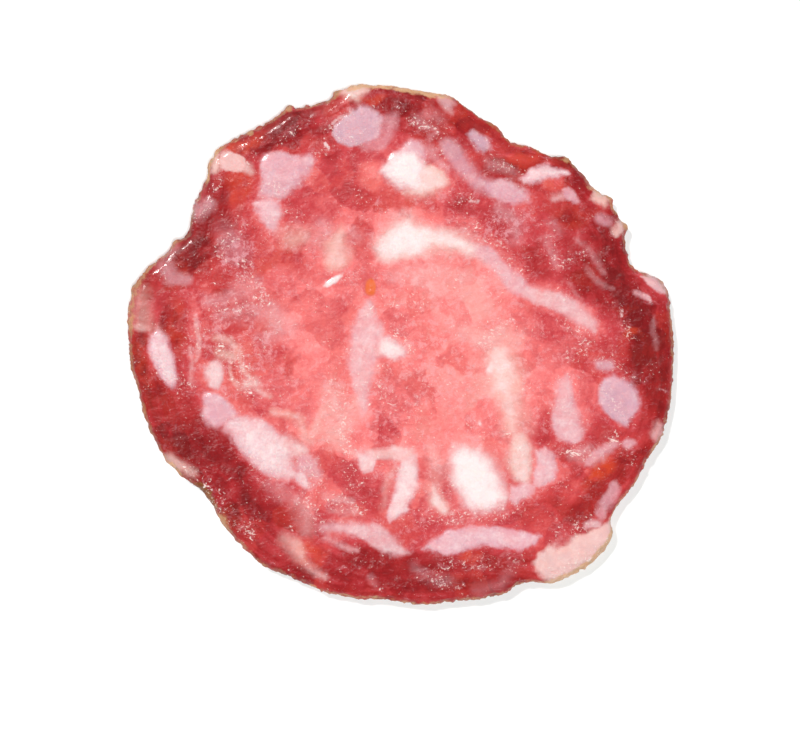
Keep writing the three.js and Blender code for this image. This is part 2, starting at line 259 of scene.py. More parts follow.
    Fat(0.05, 0.6, 0.45, 0.6, ((-11.4, -19.6, 0.6), (-10.4, -21.0, 0.5), (-8.8, -22.2, 0.3))),
    Fat(0.15, 0.1, 0.55, 0.35, ((-9.2, -12.9, 0.5), (-8.4, -13.2, 0.4), (-8.6, -11.6, 0.3))),
    Fat(0.1, 0.5, 0.4, 0.6, ((-0.6, -12.4, 0.2), (-1.6, -14.4, 0.3), (-1.9, -16.2, 0.2))),
    Fat(0.1, 0.2, 0.35, 1.0, ((1.5, 6.4, 0.8), (3.2, 5.6, 0.5), (3.6, 4.4, 0.3))),
    Fat(0.1, 0.2, 0.35, 1.0, ((-0.6, 6.8, 0.7), (0.8, 7.2, 0.6), (4.0, 7.4, 0.5), (6.6, 6.9, 0.6))),
    Fat(0.1, 0.4, 0.4, 1.1, ((6.2, 1.4, 0.5), (8.2, 0.4, 0.8), (11.8, 0.6, 0.6))),
    Fat(0.1, 0.5, 0.4, 1.0, ((3.0, -10.6, 0.5), (3.8, -12.4, 0.7), (3.4, -14.0, 0.5))),
    Fat(0.1, 0.1, 0.35, 0.5, ((14.4, 10.6, 0.2), (15.2, 8.9, 0.3), (15.7, 7.6, 0.2))),
    Fat(0.1, 0.1, 0.35, 0.6, ((10.0, 13.6, 0.6), (11.6, 12.2, 0.6), (11.4, 10.4, 0.4))),
    Fat(0.05, 0.1, 0.3, 0.6, ((15.2, 12.2, 0.3), (15.8, 11.2, 0.3))),
    Fat(0.05, 0.2, 0.4, 0.3, ((17.6, 10.4, 0.12), (19.2, 9.0, 0.15), (20.4, 7.0, 0.12))),
    Fat(0.05, 0.2, 0.35, 0.3, ((18.6, 7.6, 0.15), (19.8, 6.2, 0.15), (21.2, 5.6, 0.1))),
    Fat(0.05, 0.2, 0.35, 0.3, ((16.9, 6.0, 0.12), (18.0, 4.4, 0.15))),
    Fat(0.05, 0.2, 0.3, 0.35, ((25.4, 3.0, 0.12), (25.2, 1.2, 0.15), (25.5, -0.4, 0.1))),
    Fat(0.05, 0.1, 0.35, 0.5, ((8.9, 18.0, 0.3), (10.2, 17.7, 0.4), (11.2, 17.2, 0.3))),
    Fat(0.05, 0.1, 0.3, 0.6, ((1.8, 22.5, 0.4), (3.0, 22.9, 0.4), (4.2, 22.4, 0.3))),
    Fat(0.1, 0.1, 0.4, 0.35, ((2.8, 20.6, 0.2), (3.6, 21.3, 0.2), (2.3, 21.9, 0.3))),
    Fat(0.05, 0.2, 0.35, 0.6, ((18.6, -10.6, 0.5), (17.0, -11.4, 0.4), (19.4, -12.0, 0.3))),
    Fat(0.05, 0.1, 0.16, 0.6, ((1.4, -22.4, 0.5), (2.6, -23.4, 0.4), (4.8, -23.8, 0.4))),
    Fat(0.05, 0.1, 0.2, 0.6, ((7.6, -24.6, 0.5), (9.8, -24.0, 0.5), (10.8, -22.8, 0.4))),
    Fat(0.05, 0.1, 0.3, 0.4, ((-3.0, -23.4, 0.25), (-2.4, -24.2, 0.2))),
)

# A stretch of lean, an oval of half length and half width, turned anticlockwise by turn
# degrees. tone: 0 is deep crimson, 1 is pale salmon. warm: how much it leans to orange red.
# smear: how thickly fine fat is smeared through it.
Lean = namedtuple("Lean", "x y length width turn tone warm smear")

LEAN_PATCHES = (
    # The wide pale middle.
    Lean(1.0, -1.0, 13.0, 11.5, 0, 0.66, 0.05, 0.6),
    Lean(5.0, -3.5, 8.5, 7.5, 0, 0.75, 0.12, 0.8),
    Lean(5.0, 5.4, 5.5, 3.4, -20, 0.86, 0.1, 0.75),
    Lean(-9.0, 1.5, 3.0, 4.0, 0, 0.73, 0.05, 0.45),
    Lean(-1.5, -6.5, 3.0, 3.2, 0, 0.6, 0.0, 0.7),
    Lean(3.4, -8.0, 2.6, 1.8, 0, 0.7, 0.25, 0.6),
    Lean(-6.4, -7.0, 2.2, 4.0, 0, 0.82, 0.25, 0.8),
    Lean(-16.5, 0.0, 4.5, 4.0, 0, 0.53, 0.25, 0.75),
    # The red stretches round it.
    Lean(-5.5, 16.3, 4.8, 2.5, 10, 0.44, 0.08, 0.15),
    Lean(-9.0, 13.9, 2.6, 2.0, 0, 0.43, 0.05, 0.2),
    Lean(-2.7, 16.6, 0.9, 1.5, 0, 0.78, 0.4, 0.1),
    Lean(-1.5, 14.3, 3.0, 1.0, 10, 0.5, 0.3, 0.5),
    Lean(-13.0, 8.4, 3.0, 1.7, 0, 0.52, 0.35, 0.4),
    Lean(-11.8, 5.8, 1.6, 1.3, 0, 0.5, 0.05, 0.55),
    Lean(-16.5, 16.0, 1.6, 2.6, 0, 0.4, 0.6, 0.2),
    Lean(-16.4, 9.0, 1.4, 2.4, -15, 0.38, 0.0, 0.9),
    Lean(-17.8, 6.1, 1.2, 1.3, 0, 0.34, 0.15, 0.3),
    Lean(-22.3, 2.0, 1.0, 2.2, 0, 0.25, 0.5, 0.1),
    Lean(-6.2, -13.2, 1.6, 2.0, 0, 0.52, 0.0, 0.3),
    Lean(-3.5, -15.5, 1.4, 1.2, 0, 0.45, 0.1, 0.3),
    Lean(14.2, -8.5, 1.0, 1.8, 0, 0.48, 0.1, 0.5),
    Lean(11.0, 12.0, 2.2, 2.2, 0, 0.38, 0.0, 0.85),
    Lean(13.5, 9.0, 2.0, 2.5, 0, 0.34, 0.05, 0.4),
    Lean(6.8, 14.0, 2.2, 1.2, -20, 0.36, 0.05, 0.3),
    # The dark ring.
    Lean(-20.3, 9.8, 3.0, 1.5, 55, 0.06, 0.05, 0.0),
    Lean(-18.4, 13.6, 1.0, 2.6, -20, 0.14, 0.1, 0.0),
    Lean(-12.3, 20.8, 2.2, 1.0, 30, 0.16, 0.0, 0.3),
    Lean(-9.8, 22.5, 1.6, 0.8, 25, 0.08, 0.0, 0.0),
    Lean(-19.0, -11.5, 3.0, 5.0, 30, 0.06, 0.0, 0.1),
    Lean(-24.2, -5.5, 1.6, 3.0, 15, 0.14, 0.15, 0.15),
    Lean(-26.2, -1.2, 0.8, 2.4, 0, 0.02, 0.25, 0.1),
    Lean(-13.3, -17.8, 2.3, 2.6, 30, 0.22, 0.05, 0.1),
    Lean(-3.5, -22.2, 4.5, 1.6, 0, 0.17, 0.05, 0.0),
    Lean(5.0, -21.9, 6.5, 1.2, 0, 0.2, 0.1, 0.15),
    Lean(4.0, -24.4, 6.0, 1.2, 0, 0.17, 0.0, 0.15),
    Lean(14.8, -16.7, 4.0, 1.5, 25, 0.32, 0.1, 0.05),
    Lean(18.0, -14.2, 1.8, 0.9, 35, 0.58, 0.15, 0.1),
    Lean(25.2, -2.0, 2.0, 5.5, 0, 0.02, 0.0, 0.0),
    Lean(21.5, 7.2, 1.6, 4.6, 25, 0.05, 0.0, 0.0),
    Lean(18.2, 7.6, 1.6, 4.6, 25, 0.2, 0.0, 0.1),
    Lean(23.6, 3.3, 1.4, 1.1, 0, 0.04, 0.0, 0.0),
    Lean(17.4, 12.8, 1.8, 0.9, 0, 0.2, 0.2, 0.1),
    Lean(0.5, 24.0, 4.2, 0.9, 0, 0.13, 0.0, 0.05),
    Lean(7.6, 22.2, 2.8, 1.2, -38, 0.1, 0.25, 0.05),
    Lean(9.8, 19.8, 0.9, 1.4, 0, 0.12, 0.1, 0.05),
    Lean(15.2, 18.6, 2.2, 0.7, -15, 0.02, 0.1, 0.0),
    # Vivid orange red.
    Lean(20.1, -12.6, 1.9, 0.8, 50, 0.32, 1.0, 0.05),
    Lean(-15.6, 20.0, 2.0, 0.7, 25, 0.24, 1.0, 0.05),
    Lean(-3.0, 24.5, 1.6, 0.4, 10, 0.25, 0.7, 0.2),
    Lean(15.2, 16.2, 0.8, 0.6, 0, 0.62, 0.6, 0.2),
    Lean(12.3, 18.8, 1.5, 0.7, 0, 0.45, 0.4, 0.15),
    Lean(23.0, 1.2, 0.9, 0.6, 0, 0.22, 0.9, 0.1),
    Lean(-9.2, -20.5, 1.4, 1.2, 0, 0.42, 0.8, 0.2),
    Lean(7.2, -21.4, 1.0, 0.5, 0, 0.25, 0.8, 0.1),
)

# Where the dried outer skin was left on: from and to are degrees anticlockwise from +X, width is
# in from the rim, brown runs from tan (0) to dark brown (1).
Rind = namedtuple("Rind", "start end width cover brown")

RIND_STRETCHES = (
    Rind(12, 35, 0.3, 0.35, 0.5),
    Rind(35, 42, 0.8, 0.55, 0.2),
    Rind(42, 78, 0.35, 0.45, 0.7),
    Rind(78, 103, 0.75, 0.75, 0.0),
    Rind(103, 131, 0.35, 0.5, 0.5),
    Rind(131, 141, 0.7, 0.75, 0.15),
    Rind(141, 158, 0.35, 0.4, 0.6),
    Rind(158, 178, 1.0, 0.6, 0.35),
    Rind(178, 205, 0.6, 0.55, 0.6),
    Rind(205, 213, 0.8, 0.65, 0.15),
    Rind(213, 222, 1.1, 0.8, 1.0),
    Rind(222, 228, 1.2, 0.7, 0.3),
    Rind(228, 247, 0.8, 0.42, 0.5),
    Rind(245, 300, 0.32, 0.4, 0.3),
    Rind(300, 320, 0.8, 0.85, 0.12),
    Rind(319, 345, 0.35, 0.35, 0.3),
)

# Where the knife tore the face and grease lies thick, paths of (x, y, radius). There the bump is stronger
# and the painted glints crowd: pale grease flecks that stand for highlights.
GREASY_GLINT_PATHS = (
    ((1.4, 22.0, 0.5), (2.6, 21.6, 0.5), (3.6, 21.0, 0.4), (4.8, 21.6, 0.3)),
    ((-7.0, 21.4, 0.3), (-6.0, 22.6, 0.3), (-5.2, 22.9, 0.2)),
    ((-6.8, 21.6, 0.4), (-6.0, 20.6, 0.4), (-4.4, 20.3, 0.3)),
    ((-8.3, 19.2, 0.2), (-7.3, 19.8, 0.3)),
    ((-13.2, 16.0, 0.3), (-11.4, 15.6, 0.3)),
    ((-11.0, 13.2, 0.3), (-10.4, 12.8, 0.3)),
    ((-20.3, 12.9, 0.3), (-19.0, 14.0, 0.2), (-17.8, 16.6, 0.1)),
    ((-23.8, 7.0, 0.4), (-22.4, 8.0, 0.2)),
    ((-18.0, 8.8, 0.3), (-17.0, 10.6, 0.3)),
    ((-12.6, 20.4, 0.2), (-11.2, 21.0, 0.2), (-8.9, 22.3, 0.1)),
    ((-19.0, 3.2, 0.4), (-16.0, 3.6, 0.4), (-13.6, 4.6, 0.5), (-15.8, 8.0, 0.4)),
    ((-24.4, -1.6, 0.4), (-23.4, -3.2, 0.4), (-20.6, -4.4, 0.3)),
    ((-18.0, -0.4, 0.5), (-15.6, -2.4, 0.6), (-14.8, -5.2, 0.5)),
    ((-9.6, -11.6, 0.4), (-8.2, -13.4, 0.5), (-9.8, -15.8, 0.5), (-8.0, -18.0, 0.5)),
    ((-15.4, -11.4, 0.3), (-14.0, -13.0, 0.4)),
    ((-20.8, -12.4, 0.5), (-18.2, -15.6, 0.7), (-17.2, -17.4, 0.4), (-15.2, -18.6, 0.5)),
    ((-6.6, -15.8, 0.5), (-4.2, -16.6, 0.4), (-6.4, -4.4, 0.4), (-5.4, -6.6, 0.4)),
    ((4.4, -22.0, 0.6), (7.6, -22.2, 0.5), (11.4, -21.6, 0.5)),
    ((2.4, -23.2, 0.4), (5.6, -24.0, 0.3)),
    ((-2.4, 23.9, 0.1), (0.4, 23.4, 0.2)),
    ((3.0, -17.4, 0.4), (6.0, -17.2, 0.3), (10.6, -16.8, 0.5), (12.8, -15.6, 0.4)),
    ((15.6, -18.4, 0.5), (17.0, -18.8, 0.4), (18.8, -17.8, 0.4)),
    ((16.6, -10.8, 0.5), (18.4, -10.6, 0.5), (19.0, -12.0, 0.4), (21.2, -9.3, 0.4)),
    ((20.4, -1.8, 0.4), (22.4, -2.9, 0.4), (23.6, -4.0, 0.2)),
    ((20.6, -4.6, 0.2), (21.6, -6.2, 0.5), (22.6, -7.6, 0.1)),
    ((22.1, 3.6, 0.1), (22.3, 2.2, 0.2), (22.8, 0.8, 0.1)),
    ((24.2, 5.0, 0.2), (25.2, 4.2, 0.1)),
    ((9.2, 18.0, 0.4), (11.2, 17.2, 0.4), (7.2, 20.4, 0.3)),
    ((15.4, 10.4, 0.3), (15.6, 7.8, 0.3), (18.6, 8.8, 0.3)),
    ((7.4, 11.6, 0.3), (9.8, 9.8, 0.3), (12.6, 6.8, 0.3)),
    ((16.6, 2.0, 0.2), (19.0, 0.4, 0.4), (16.8, -1.4, 0.3)),
    ((-1.8, -2.2, 0.3), (-1.6, -4.6, 0.5), (-1.0, -6.4, 0.3)),
    ((-7.2, -3.2, 0.4), (-6.6, -5.8, 0.6), (-5.6, -7.8, 0.4)),
    ((0.9, -0.6, 0.2), (0.0, 0.6, 0.3), (-1.4, 1.4, 0.2)),
    ((8.0, -0.4, 0.2), (9.4, 1.4, 0.3), (11.0, 2.2, 0.2)),
    ((-12.4, -12.8, 0.3), (-14.4, -11.8, 0.3), (-16.2, -9.8, 0.2)),
    ((5.0, 14.6, 0.3), (7.2, 14.4, 0.2)),
    ((15.2, -23.4, 0.3), (18.0, -21.9, 0.4), (20.6, -20.0, 0.2)),
)

# Nubs of skin that stand out of the rim, as (x, y, reach).
RIM_NUBS = ((-6.4, 25.2, 0.35), (-11.2, 23.6, 0.28), (-15.1, 21.2, 0.15), (-22.6, 10.3, 0.35),
            (20.9, 14.7, 0.3), (22.6, 11.8, 0.25), (-26.9, 5.6, 0.2), (16.6, 18.5, 0.2))

FRAY = 0.26  # how far the torn edge of a piece of fat wanders, in mm
SPICE_SPOT = (-3.05, 5.6, 0.72, 1.15)  # x, y, half width and half length of the paprika grain

# The smooth shoulder where the upper right rim was pressed down, a path of (x, y, radius).
SHOULDER = ((4.6, 23.8, 0.7), (7.6, 21.9, 1.5), (10.0, 19.6, 1.3), (13.0, 18.8, 0.8),
            (16.2, 17.8, 0.8))


# ---------------------------------------------------------------------------------------------
# Settings that a user would change.

def length_setting(name, description, default, **limits):
    """A small length that a user can change."""
    return bpy.props.FloatProperty(name=name, description=description, default=default,
                                   unit="LENGTH", precision=6, **limits)


def colour_setting(name, description, code):
    """A colour that a user can change, given as its sRGB hex value."""
    return bpy.props.FloatVectorProperty(name=name, description=description, default=srgb(code),
                                         subtype="COLOR", min=0, max=1)


def share_setting(name, description, default):
    """A share from 0 to 1 that a user can change."""
    return bpy.props.FloatProperty(name=name, description=description, default=default,
                                   subtype="FACTOR", min=0, max=1)


class SausageShapeSettings(bpy.types.PropertyGroup):
    """Sizes of the slice's surface."""
    facet: length_setting(
        "Facet", "Edge length of the mesh before its upper side is refined", 0.385 * MM, min=0.2 * MM)
    fat_rise: length_setting(
        "Fat Rise", "How far the fat stands proud of the dried lean", 0.08 * MM)
    groove: length_setting(
        "Border Groove", "Depth of the groove where fat and lean part", 0.08 * MM)
    grain_rise: length_setting(
        "Grain", "Height of the minced lean's uneven grain", 0.08 * MM)
    shoulder_drop: length_setting(
        "Shoulder Drop", "How far the pressed shoulder lies below the face", 0.28 * MM)
    rim_swell: length_setting(
        "Rim Swell", "How ragged the peeled rim is", 0.14 * MM)


class SausageLookSettings(bpy.types.PropertyGroup):
    """Colours and finish of the meat."""
    lean_deep: colour_setting("Deep Lean", "Air-dried lean by the rim", "7e171a")
    lean_crimson: colour_setting("Crimson Lean", "Lean just inside the rim", "a32327")
    lean_red: colour_setting("Red Lean", "Lean between the rim and the middle", "ca444a")
    lean_salmon: colour_setting("Salmon Lean", "Moist lean in the middle", "f27c7b")
    lean_pale: colour_setting("Pale Lean", "Lean with fat smeared through it", "faaba7")
    lean_orange: colour_setting("Paprika Lean", "Lean stained by paprika oil", "cf4429")
    fat_white: colour_setting("White Fat", "Dense back fat", "f8e6e5")
    fat_cream: colour_setting("Cream Fat", "Warm, softened fat", "f3cbb8")
    fat_lilac: colour_setting("Lilac Fat", "Clear fat with the lean showing through", "dc9dab")
    fat_grey: colour_setting("Grey Fat", "The clearest fat, with dark lean under it", "c0abbe")
    # Painted highlight: the pale colour of grease flecks that stand in for glints of light on the wet
    # face.
    grease_glint: colour_setting("Grease Glint", "Grease beads, painted pale as glints of light", "fde8e0")
    rind_tan: colour_setting("Tan Rind", "Dried outer skin over fat", "e8b68a")
    rind_brown: colour_setting("Brown Rind", "Dried outer skin over lean", "824e26")
    spice: colour_setting("Spice", "Paprika grain", "e8703f")
    roughness: share_setting("Roughness", "Roughness of the meat under its grease", 0.34)
    grease: share_setting("Grease", "How much grease lies on the cut face", 0.5)


class SausageStageSettings(bpy.types.PropertyGroup):
    """The stage that the slice is shown on."""
    camera_distance: bpy.props.FloatProperty(
        name="Camera Distance", description="From the lens to the widest part of the rim",
        default=0.2, min=0.05, unit="LENGTH")
    frame_width: bpy.props.FloatProperty(
        name="Frame Width", description="Width that the camera sees at that distance",
        default=0.08, min=0.01, unit="LENGTH")
    frame_middle: bpy.props.FloatVectorProperty(
        name="Frame Middle", description="Point under the camera",
        default=(-0.1 * MM, -2.65 * MM), size=2, unit="LENGTH", precision=6)
    floor_radius: bpy.props.FloatProperty(
        name="Floor Radius", description="Radius of the round floor",
        default=3.0, min=0.1, unit="LENGTH")
    key_tilt: bpy.props.FloatProperty(
        name="Key Tilt", description="How far the key light leans from straight overhead",
        default=math.radians(33), subtype="ANGLE")
    key_bearing: bpy.props.FloatProperty(
        name="Key Bearing", description="Where the key light stands, anticlockwise from +X",
        default=math.radians(130), subtype="ANGLE")


# ---------------------------------------------------------------------------------------------
# Fields over the slice. Each takes points in millimetres and gives one number for each point.

def soft_step(low, high, value):
    """0 below low, 1 above high, and a smooth rise between them."""
    share = np.clip((value - low) / (high - low), 0, 1)
    return share * share * (3 - 2 * share)


def noise_field(points, period, seed, octaves=2):
    """Noise of about -1 to 1 with that period in millimetres."""
    moved = points / period + np.array((seed * 17.3, seed * -9.1, seed * 5.7))
    return np.array([noise.fractal(Vector(p), 1.0, 2.0, octaves) for p in moved])


def from_line(x, y, start, end):
    """How far each point is from a straight line, and what share of the way along it is nearest."""
    across, along = end[0] - start[0], end[1] - start[1]
    share = ((x - start[0]) * across + (y - start[1]) * along) / (across ** 2 + along ** 2)
    share = np.clip(share, 0, 1)
    return np.hypot(x - start[0] - share * across, y - start[1] - share * along), share


def path_depth(x, y, path):
    """How far each point lies inside a path of (x, y, radius), negative outside it."""
    depth = path[0][2] - np.hypot(x - path[0][0], y - path[0][1])
    for start, end in zip(path, path[1:]):
        reach, share = from_line(x, y, start, end)
        depth = np.maximum(depth, start[2] + share * (end[2] - start[2]) - reach)
    return depth


def outline_depth(x, y, corners):
    """How far each point lies inside an outline of (x, y) corners, negative outside it."""
    reach = np.full(x.shape, np.inf)
    inside = np.zeros(x.shape, bool)
    for (ax, ay), (bx, by) in zip(corners, corners[1:] + corners[:1]):
        reach = np.minimum(reach, from_line(x, y, (ax, ay), (bx, by))[0])
        if ay != by:
            crossing = ax + (y - ay) / (by - ay) * (bx - ax)
            inside ^= ((ay > y) != (by > y)) & (x < crossing)
    return np.where(inside, reach, -reach)


def shape_depth(x, y, shape):
    """The depth inside a piece of fat, whether it is an outline or a path."""
    return outline_depth(x, y, shape) if len(shape[0]) == 2 else path_depth(x, y, shape)


def rim_distance(x, y):
    """How far each point lies in from the slice's outline, along its own radius."""
    steps = 720
    angle = np.arctan2(y, x)
    radius = np.hypot(x, y)
    place = (angle / (2 * math.pi) * steps) % steps
    outline = np.zeros(steps)
    np.maximum.at(outline, place.astype(int) % steps, radius)
    outline = np.maximum(outline, np.maximum(np.roll(outline, 1), np.roll(outline, -1)))
    return np.interp(place, np.arange(steps + 1), np.append(outline, outline[0])) - radius


def fat_fields(x, y, sharpness):
    """edge, core, cover, white, warm and fray of the fat at each point."""
    edge = np.full(x.shape, -4.0)
    core = np.zeros(x.shape)
    total = np.full(x.shape, 1e-9)
    look = np.zeros((4,) + x.shape)
    for fat in FAT_PIECES:
        depth = shape_depth(x, y, fat.shape)
        step = np.clip(depth / fat.edge * sharpness, -4, 4)
        weight = np.exp(2.5 * step)
        total += weight
        look += weight * np.array((fat.cover, fat.white, fat.warm, FRAY / fat.edge))[:, None]
        edge = np.maximum(edge, step)
        core = np.maximum(core, np.clip(depth / max(depth.max(), 0.4), 0, 1))
    cover, white, warm, fray = look / total
    return edge, core, cover, white, warm, fray


def lean_fields(x, y, inset):
    """tone, warmth and smear of the lean at each point."""
    tone = 0.22 + 0.30 * soft_step(2.0, 9.0, inset)
    warm = np.full(x.shape, 0.08)
    smear = 0.25 + 0.35 * soft_step(2.0, 9.0, inset)
    for patch in LEAN_PATCHES:
        turn = math.radians(patch.turn)
        along = (x - patch.x) * math.cos(turn) + (y - patch.y) * math.sin(turn)
        across = (y - patch.y) * math.cos(turn) - (x - patch.x) * math.sin(turn)
        reach = np.hypot(along / patch.length, across / patch.width)
        share = 1 - soft_step(0.55, 1.5, reach)
        tone += share * (patch.tone - tone)
        warm += share * (patch.warm - warm)
        smear += share * (patch.smear - smear)
    return tone, warm, smear


def rind_fields(x, y, inset):
    """How much dried skin is on each point, and how brown it is."""
    angle = np.degrees(np.arctan2(y, x)) % 360
    cover = np.zeros(x.shape)
    brown = np.full(x.shape, 0.5)
    for rind in RIND_STRETCHES:
        ends = soft_step(-3, 3, angle - rind.start) * soft_step(-3, 3, rind.end - angle)
        share = ends * (1 - soft_step(0.3, 1.3, inset / rind.width))
        cover = np.maximum(cover, share * rind.cover)
        brown += ends * (rind.brown - brown)
    return cover, brown


# ---------------------------------------------------------------------------------------------
# The slice.

def read_rows(items, key):
    """What each item holds under key, as an array with a row of three numbers for each."""
    flat = np.empty(len(items) * 3)
    items.foreach_get(key, flat)
    return flat.reshape(-1, 3)


def even_copy(node, facet):
    """A copy of a CAD node as one skin of even square faces."""
    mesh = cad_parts[node].data.copy()
    skin = bmesh.new()
    skin.from_mesh(mesh)
    bmesh.ops.remove_doubles(skin, verts=skin.verts, dist=0.001 * MM)
    skin.to_mesh(mesh)
    skin.free()
    holder = bpy.data.objects.new("even_copy", mesh)
    bpy.context.scene.collection.objects.link(holder)
    remesh = holder.modifiers.new("Even faces", "REMESH")
    remesh.mode = "VOXEL"
    remesh.voxel_size = facet
    graph = bpy.context.evaluated_depsgraph_get()
    even = bpy.data.meshes.new_from_object(holder.evaluated_get(graph))
    bpy.data.objects.remove(holder)
    bpy.data.meshes.remove(mesh)
    return even


def refine_upper_side(mesh):
    """Smooths the skin and gives the cut face and rim, but not the underside, finer faces."""
    skin = bmesh.new()
    skin.from_mesh(mesh)
    for _ in range(SMOOTHING_ROUNDS):
        bmesh.ops.smooth_vert(skin, verts=skin.verts, factor=0.5,
                              use_axis_x=True, use_axis_y=True, use_axis_z=True)
    low = min(v.co.z for v in skin.verts) + UNDERSIDE_DEPTH
    upper = [e for e in skin.edges if max(v.co.z for v in e.verts) > low]
    bmesh.ops.subdivide_edges(skin, edges=upper, cuts=1, smooth=1.0, use_grid_fill=True)
    bmesh.ops.recalc_face_normals(skin, faces=skin.faces)
    skin.to_mesh(mesh)
    skin.free()


def fit_to_box(points, low, high):
    """Moves and stretches the points a little so that they fill the box exactly."""
    have_low, have_high = points.min(0), points.max(0)
    share = (points - have_low) / (have_high - have_low)
    return np.array(low) + share * (np.array(high) - np.array(low))


def store_vector(mesh, name, *parts):
    """Keeps up to three numbers a point where the material can read them."""
    columns = list(parts) + [np.zeros(len(mesh.vertices))] * (3 - len(parts))
    attribute = mesh.attributes.new(name, "FLOAT_VECTOR", "POINT")
    attribute.data.foreach_set("vector", np.column_stack(columns).astype(np.float32).ravel())


def carve_and_mark(mesh, shape):
    """Gives the skin its relief and keeps what each point is made of for the material."""
    points = fit_to_box(read_rows(mesh.vertices, "co"), CAD_LOW, CAD_HIGH) / MM
    normals = read_rows(mesh.vertex_normals, "vector")
    x, y, z = points.T
    up = soft_step(0.35, 0.9, normals[:, 2])
    side = 1 - soft_step(0.45, 0.9, np.abs(normals[:, 2]))
    inset = rim_distance(x, y)

    # Pieces lean a little as they go down through the slice, and no border is a clean curve.
    below = SLICE_HEIGHT / MM - z
    bend = noise_field(points, 2.6, seed=1)
    wave = noise_field(points, 2.6, seed=2)
    fine = noise_field(points, 0.8, seed=3)
    fat_x = x + 0.30 * bend + 0.12 * fine + 0.22 * below
    fat_y = y + 0.30 * wave - 0.12 * fine - 0.15 * below
    sharpness = np.exp(0.9 * noise_field(points, 3.5, seed=7))
    edge, core, cover, white, warm, fray = fat_fields(fat_x, fat_y, sharpness)
    tone, lean_warm, smear = lean_fields(x + 0.9 * bend, y + 0.9 * wave, inset)
    rind, brown = rind_fields(x, y, inset)
    rind = np.maximum(rind, 0.50 * side)
    shoulder = soft_step(-0.5, 0.5, path_depth(x, y, SHOULDER))
    # More bump here, and more pale flecks painted in as glints of light.
    greasy_glints = soft_step(-0.9, 0.3, np.max([path_depth(x, y, path) for path in GREASY_GLINT_PATHS], axis=0))
    spice_x, spice_y, spice_width, spice_length = SPICE_SPOT
    spice = 1 - np.hypot((fat_x - spice_x) / spice_width, (fat_y - spice_y) / spice_length)

    is_fat = soft_step(-1, 1, edge) * cover
    grain = noise_field(points, 1.3, seed=4, octaves=4)
    border = np.exp(-(edge / 1.2) ** 2) * cover
    rise = (shape.fat_rise * (is_fat + 0.4 * core * cover)
            - shape.groove * border * (0.6 + 0.8 * fine)
            + shape.grain_rise * grain * (1 - 0.6 * is_fat) * (1 - 0.7 * shoulder)
            - shape.shoulder_drop * shoulder) / MM
    torn = 1.1 + 1.6 * noise_field(points, 2.2, seed=9)
    swell = shape.rim_swell / MM * (0.9 * noise_field(points, 0.9, seed=5, octaves=3)
                                    + torn * noise_field(points, 0.5, seed=8)
                                    + 0.6 * noise_field(points, 3.5, seed=6))
    for nub_x, nub_y, reach in RIM_NUBS:
        nub = 1 - soft_step(0.1, 0.7, np.hypot(x - nub_x, y - nub_y))
        swell += reach * nub
        rind = np.maximum(rind, 0.9 * nub)
        brown += nub * (0.45 - brown)
    outward = np.column_stack((normals[:, 0], normals[:, 1], np.zeros(len(x))))
    points[:, 2] += up * rise
    points += (side * swell)[:, None] * outward
    points[:, 2] = np.maximum(points[:, 2], 0)
    points = fit_to_box(points * MM, CAD_LOW, CAD_HIGH)

    mesh.vertices.foreach_set("co", points.ravel())
    store_vector(mesh, "fat_place", edge, core, cover)
    store_vector(mesh, "fat_look", white, warm, fray)
    store_vector(mesh, "lean_look", tone, lean_warm, smear)
    store_vector(mesh, "skin_look", rind, brown, spice)
    angle = np.arctan2(y, x)
    reach = (CAD_HIGH.x - CAD_LOW.x) / 2 / MM
    store_vector(mesh, "ring_place", reach * np.cos(angle), reach * np.sin(angle), inset)
    store_vector(mesh, "finish", shoulder, greasy_glints, soft_step(0.5, 9.0, inset))
    mesh.update()


# ---------------------------------------------------------------------------------------------
# Materials.

# The kinds of node, and their settings, that come up again and again.
MATH = "ShaderNodeMath"
VECTOR_MATH = "ShaderNodeVectorMath"
RANGE = "ShaderNodeMapRange"
MIX = "ShaderNodeMix"
NOISE = "ShaderNodeTexNoise"
ADD = {"operation": "ADD"}
LESS = {"operation": "SUBTRACT"}
TIMES = {"operation": "MULTIPLY"}
TIMES_ADD = {"operation": "MULTIPLY_ADD"}
SMOOTH = {"interpolation_type": "SMOOTHSTEP"}
BLEND = {"data_type": "RGBA", "clamp_factor": True}
SHARE, BELOW, ABOVE = 0, 6, 7

# The random patterns in the meat. size is how far one blotch is from the next, in mm. way is how
# they lie: "even" in every direction, "rim" drawn out along the rim, "knife" drawn out along X.
Pattern = namedtuple("Pattern", "way size detail rough twist")

MEAT_PATTERNS = {
    "mince": Pattern("even", 1.5, 4, 0.6, 0.4),
    "fibres": Pattern("rim", 0.3, 4, 0.65, 0.6),
    "streaks": Pattern("rim", 0.9, 3, 0.6, 0.4),
    "specks": Pattern("even", 0.22, 2, 0.6, 0.3),
    "mash": Pattern("even", 0.9, 7, 0.8, 0.35),
    "zones": Pattern("even", 2.6, 3, 0.6, 0),
    "clumps": Pattern("even", 1.1, 2, 0.5, 0.5),
    "small_beads": Pattern("even", 0.24, 2, 0.6, 0.4),
    "large_beads": Pattern("knife", 0.62, 4, 0.65, 1.2),
    "clouds": Pattern("even", 0.9, 3, 0.6, 0.5),
    "blushes": Pattern("even", 2.4, 3, 0.6, 0.6),
    "tears": Pattern("even", 0.6, 4, 0.65, 0.4),
    "skin_flakes": Pattern("even", 0.8, 4, 0.65, 0.4),
    "fine_bumps": Pattern("even", 0.24, 3, 0.6, 0),
    "coarse_bumps": Pattern("knife", 0.6, 3, 0.6, 0.3),
}
STORED_FIELDS = ("fat_place", "fat_look", "lean_look", "skin_look", "finish")


